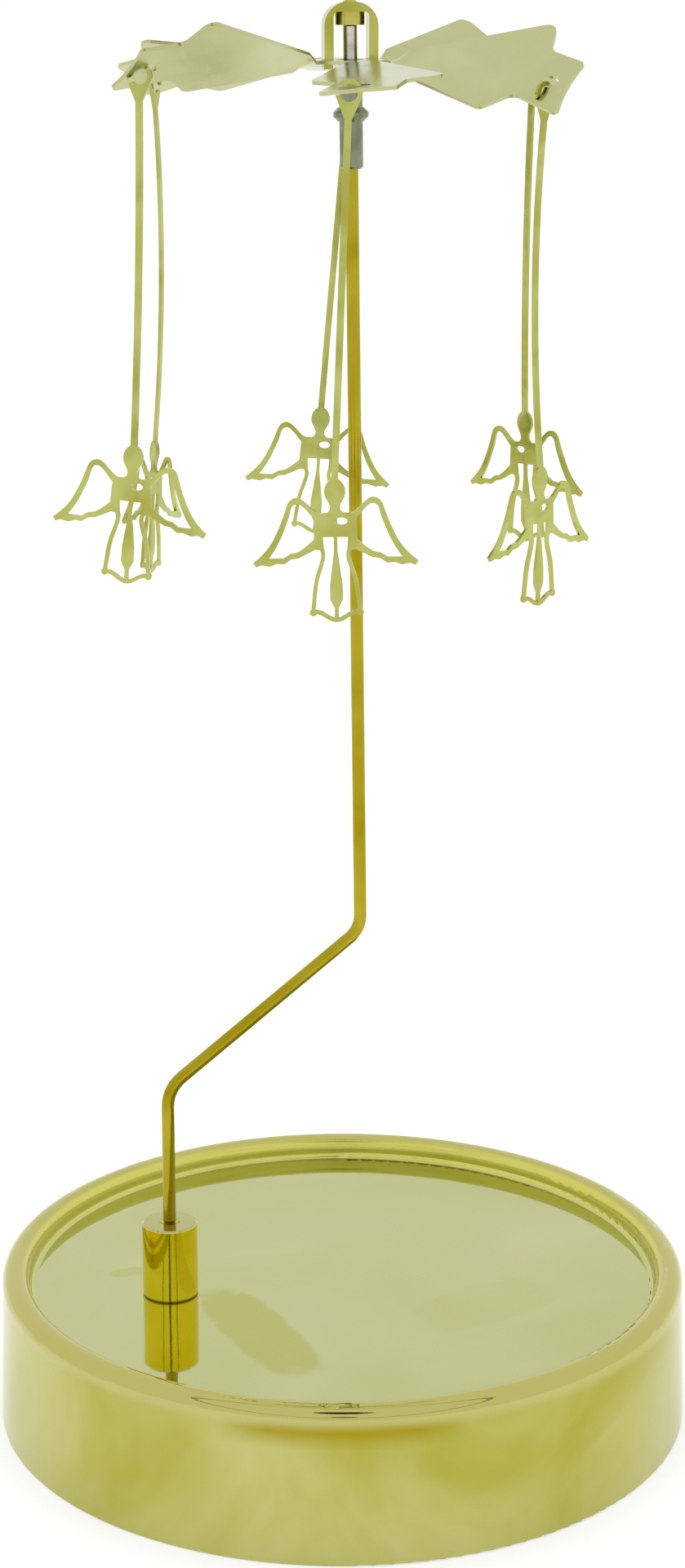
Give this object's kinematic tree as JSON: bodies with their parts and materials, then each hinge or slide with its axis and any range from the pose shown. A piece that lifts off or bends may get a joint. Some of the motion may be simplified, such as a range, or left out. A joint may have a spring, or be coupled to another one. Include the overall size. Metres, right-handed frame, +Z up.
{
  "type": "spinning angel carousel",
  "caption": "Spinning tealight carousel: twisted-blade rotor on a needle, flat angel pendants on long strips, a cranked wire post and a round lipped metal tray.",
  "frame": {"origin": "centre of the tray's underside, on the table", "axes": "+Z up, -Y towards the viewer of the picture, +X to its right"},
  "size_m": [0.083, 0.083, 0.1662],
  "materials": {
    "gold_tray": "mirror-bright plated sheet with light smudges",
    "gold_fittings": "turned and plated",
    "gold_rod": "bright drawn wire, plated",
    "gold_rotor": "bright plated thin sheet",
    "gold_angels": "bright plated cut sheet",
    "brass_cup": "turned, slightly darker",
    "grey_ferrule": "satin grey",
    "polished_needle": "polished steel",
    "zinc_screw": "zinc-plated"
  },
  "bodies": {
    "base": {"base_tray": "gold_tray", "rod_socket": "gold_fittings", "socket_screw": "zinc_screw", "socket_washer": "zinc_screw"},
    "post": {"support_rod": "gold_rod", "ferrule": "grey_ferrule", "needle": "polished_needle"},
    "rotor": {"rotor": "gold_rotor", "rotor_bridge": "gold_rotor", "needle_cup": "brass_cup"},
    "angel_front": {"angel_front": "gold_angels"},
    "angel_front_right": {"angel_front_right": "gold_angels"},
    "angel_back_right": {"angel_back_right": "gold_angels"},
    "angel_back": {"angel_back": "gold_angels"},
    "angel_back_left": {"angel_back_left": "gold_angels"},
    "angel_front_left": {"angel_front_left": "gold_angels"}
  },
  "joints": [
    {"name": "rod_swivel", "type": "hinge", "parent": "base", "child": "post", "pos_m": [-0.0206, -0.0047, 0.02], "axis": [0, 0, 1], "continuous": true},
    {"name": "rotor_spin", "type": "hinge", "parent": "post", "child": "rotor", "pos_m": [0.0008, 0, 0.16455], "axis": [0, 0, 1], "continuous": true},
    {"name": "swing_front", "type": "hinge", "parent": "rotor", "child": "angel_front", "pos_m": [0.00067, -0.0246, 0.15826], "axis": [-1, 0, 0], "range_deg": [-6, 20]},
    {"name": "swing_front_right", "type": "hinge", "parent": "rotor", "child": "angel_front_right", "pos_m": [0.02126, -0.01341, 0.15757], "axis": [-0.6691, -0.7431, 0], "range_deg": [-6, 20]},
    {"name": "swing_back_right", "type": "hinge", "parent": "rotor", "child": "angel_back_right", "pos_m": [0.02159, 0.01368, 0.15839], "axis": [0.7071, -0.7071, 0], "range_deg": [-6, 20]},
    {"name": "swing_back", "type": "hinge", "parent": "rotor", "child": "angel_back", "pos_m": [0.00094, 0.0246, 0.15833], "axis": [1, 0, 0], "range_deg": [-6, 20]},
    {"name": "swing_back_left", "type": "hinge", "parent": "rotor", "child": "angel_back_left", "pos_m": [-0.02118, 0.01137, 0.15757], "axis": [0.3256, 0.9455, 0], "range_deg": [-6, 20]},
    {"name": "swing_front_left", "type": "hinge", "parent": "rotor", "child": "angel_front_left", "pos_m": [-0.0214, -0.01271, 0.15948], "axis": [-0.9744, 0.225, 0], "range_deg": [-6, 20]}
  ]
}
